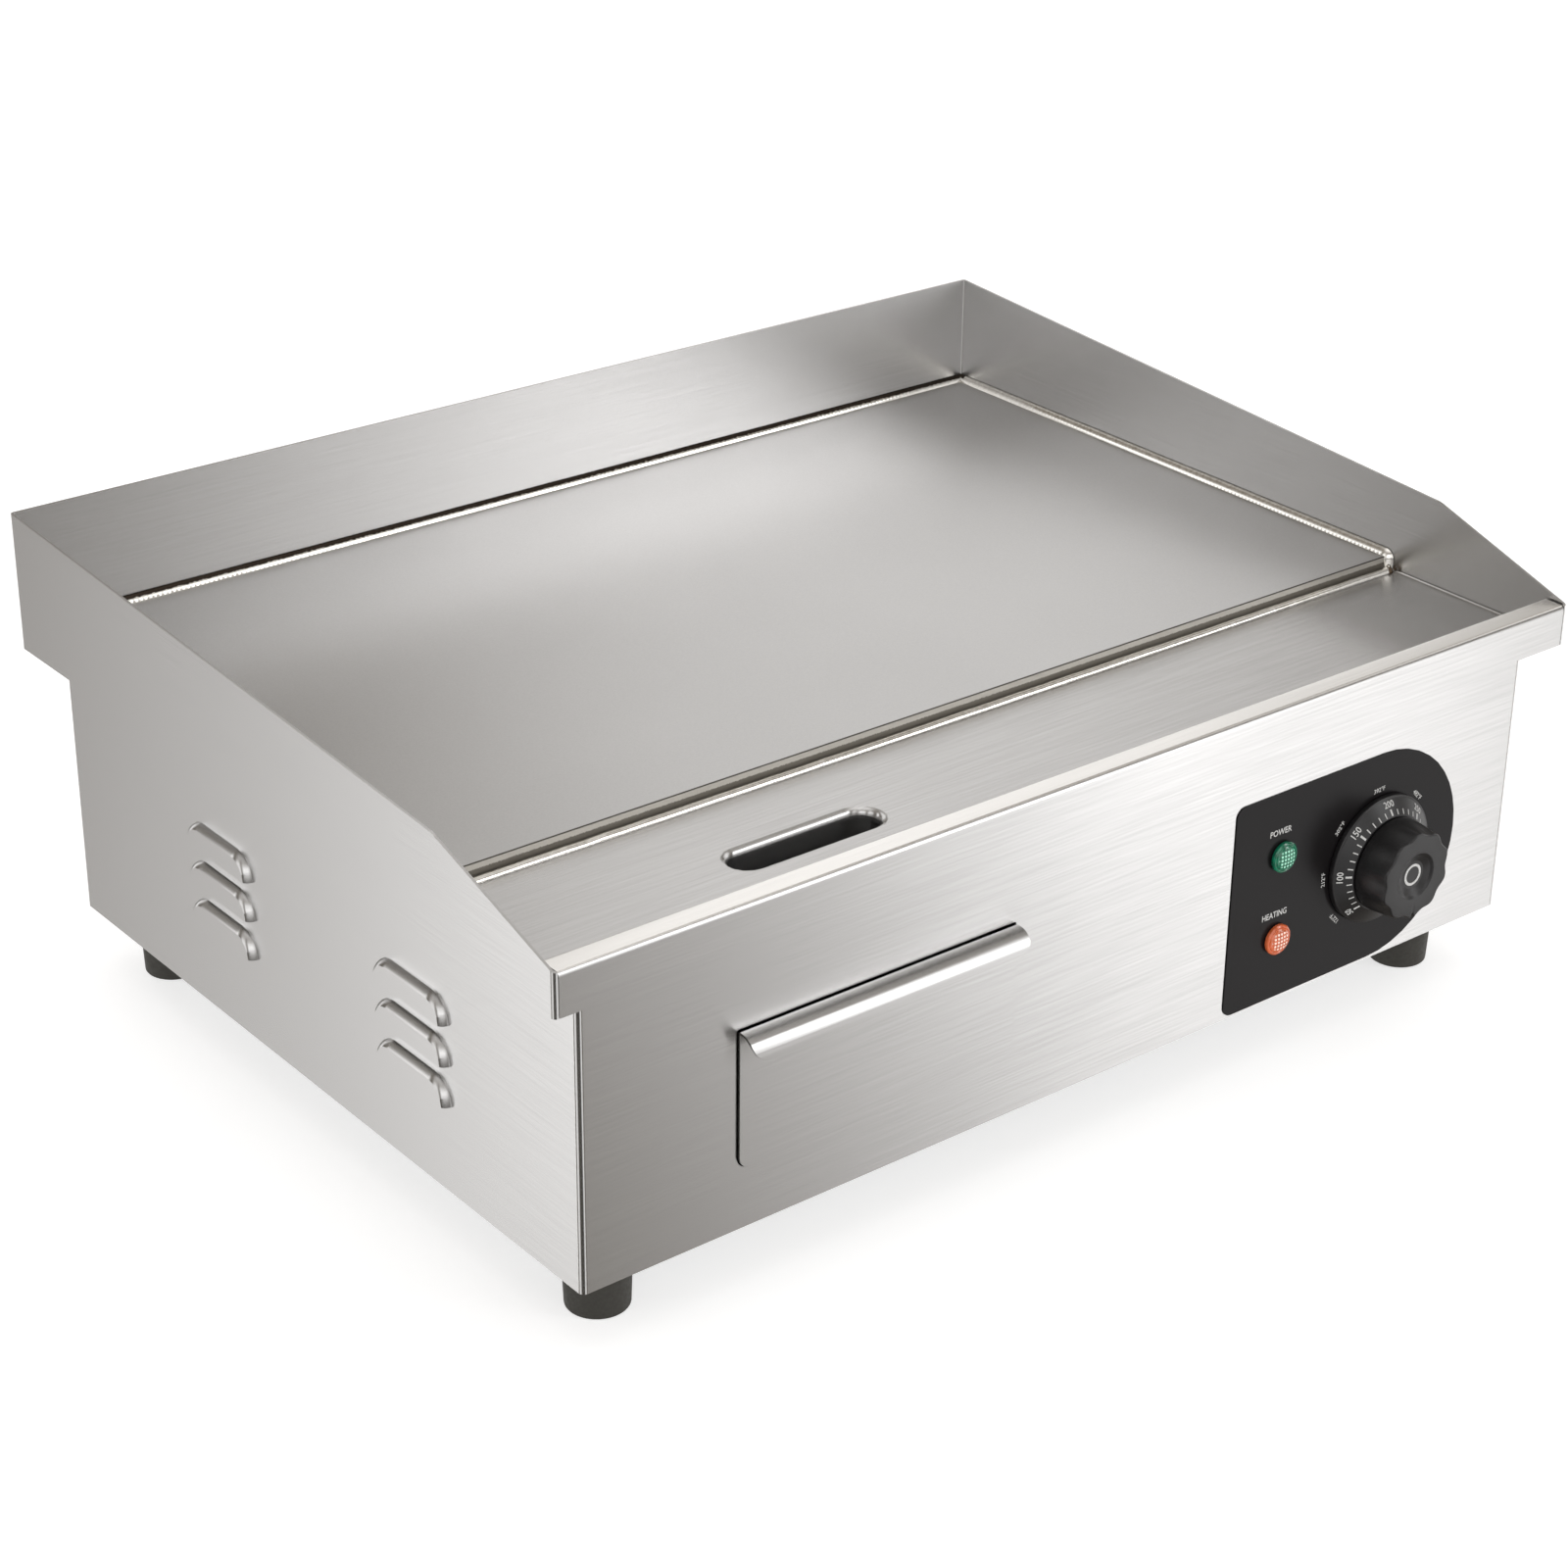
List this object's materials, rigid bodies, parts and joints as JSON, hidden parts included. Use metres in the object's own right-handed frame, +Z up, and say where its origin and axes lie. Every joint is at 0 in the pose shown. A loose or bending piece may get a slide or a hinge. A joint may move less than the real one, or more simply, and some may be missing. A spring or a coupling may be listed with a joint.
{
  "type": "electric griddle",
  "caption": "Countertop electric griddle: steel plate in a splash guard, grease shelf with drain slot, pull-out drawer, thermostat dial and lamps, on rubber feet.",
  "frame": {"origin": "on the ground, at the middle of the overall footprint", "axes": "+X to the right seen from the front, +Y to the back, +Z up"},
  "size_m": [0.55, 0.43, 0.2259],
  "materials": {
    "stainless_sheet": "satin brushed",
    "plate_steel": "ground, fine satin",
    "weld_steel": "bright weld",
    "galvanised_sheet": "galvanised",
    "zinc_steel": "zinc plated",
    "element_sheath": "oxidised",
    "copper": "drawn copper",
    "brass": "turned",
    "black_plastic": "moulded, satin",
    "membrane": "printed film, satin",
    "rubber": "matt",
    "green_lens": "faceted, glossy",
    "orange_lens": "faceted, glossy",
    "ceramic": "unglazed",
    "mineral_fibre": "fibre",
    "silicone_sleeve": "silicone"
  },
  "bodies": {
    "case": {"base_plate": "galvanised_sheet", "bulb_clip": "zinc_steel", "cable_gland": "black_plastic", "case_wrap": "stainless_sheet", "clamp_nut_left_front": "zinc_steel", "clamp_nut_left_rear": "zinc_steel", "clamp_nut_right_front": "zinc_steel", "clamp_nut_right_rear": "zinc_steel", "clamp_stud_left_front": "zinc_steel", "clamp_stud_left_rear": "zinc_steel", "clamp_stud_right_front": "zinc_steel", "clamp_stud_right_rear": "zinc_steel", "control_overlay": "membrane", "dial_bezel": "black_plastic", "drawer_runner_left": "galvanised_sheet", "drawer_runner_right": "galvanised_sheet", "earth_stud": "brass", "element_clamp_left": "zinc_steel", "element_clamp_right": "zinc_steel", "foot_front_left": "rubber", "foot_front_right": "rubber", "foot_rear_left": "rubber", "foot_rear_right": "rubber", "foot_screw_front_left": "zinc_steel", "foot_screw_front_right": "zinc_steel", "foot_screw_rear_left": "zinc_steel", "foot_screw_rear_right": "zinc_steel", "front_shelf": "stainless_sheet", "gland_locknut": "black_plastic", "grease_chute": "stainless_sheet", "griddle_plate": "plate_steel", "heat_shield": "galvanised_sheet", "heating_element_front": "element_sheath", "heating_element_rear": "element_sheath", "heating_lamp_body": "black_plastic", "heating_lamp_lens": "orange_lens", "insulation_blanket": "mineral_fibre", "lead_elements_to_mains": "silicone_sleeve", "lead_mains_to_thermostat": "silicone_sleeve", "lead_thermostat_to_elements": "silicone_sleeve", "plate_gasket": "mineral_fibre", "plate_weld_bead": "weld_steel", "power_lamp_body": "black_plastic", "power_lamp_lens": "green_lens", "rear_panel": "stainless_sheet", "rear_panel_screw_1": "zinc_steel", "rear_panel_screw_2": "zinc_steel", "rear_panel_screw_3": "zinc_steel", "rear_panel_screw_4": "zinc_steel", "shelf_weld_bead": "weld_steel", "splash_guard": "stainless_sheet", "terminal_block": "ceramic", "thermostat_body": "black_plastic", "thermostat_bulb": "copper", "thermostat_capillary": "copper"},
    "drawer": {"drawer_front": "stainless_sheet", "drawer_tray": "stainless_sheet"},
    "knob": {"control_knob": "black_plastic", "thermostat_shaft": "zinc_steel"}
  },
  "joints": [
    {"name": "drawer_slide", "type": "slide", "parent": "case", "child": "drawer", "axis": [0, -1, 0], "range_m": [0, 0.2]},
    {"name": "knob_turn", "type": "hinge", "parent": "case", "child": "knob", "pos_m": [0.1725, -0.2, 0.0832], "axis": [0, 1, 0], "range_deg": [0, 270]}
  ]
}
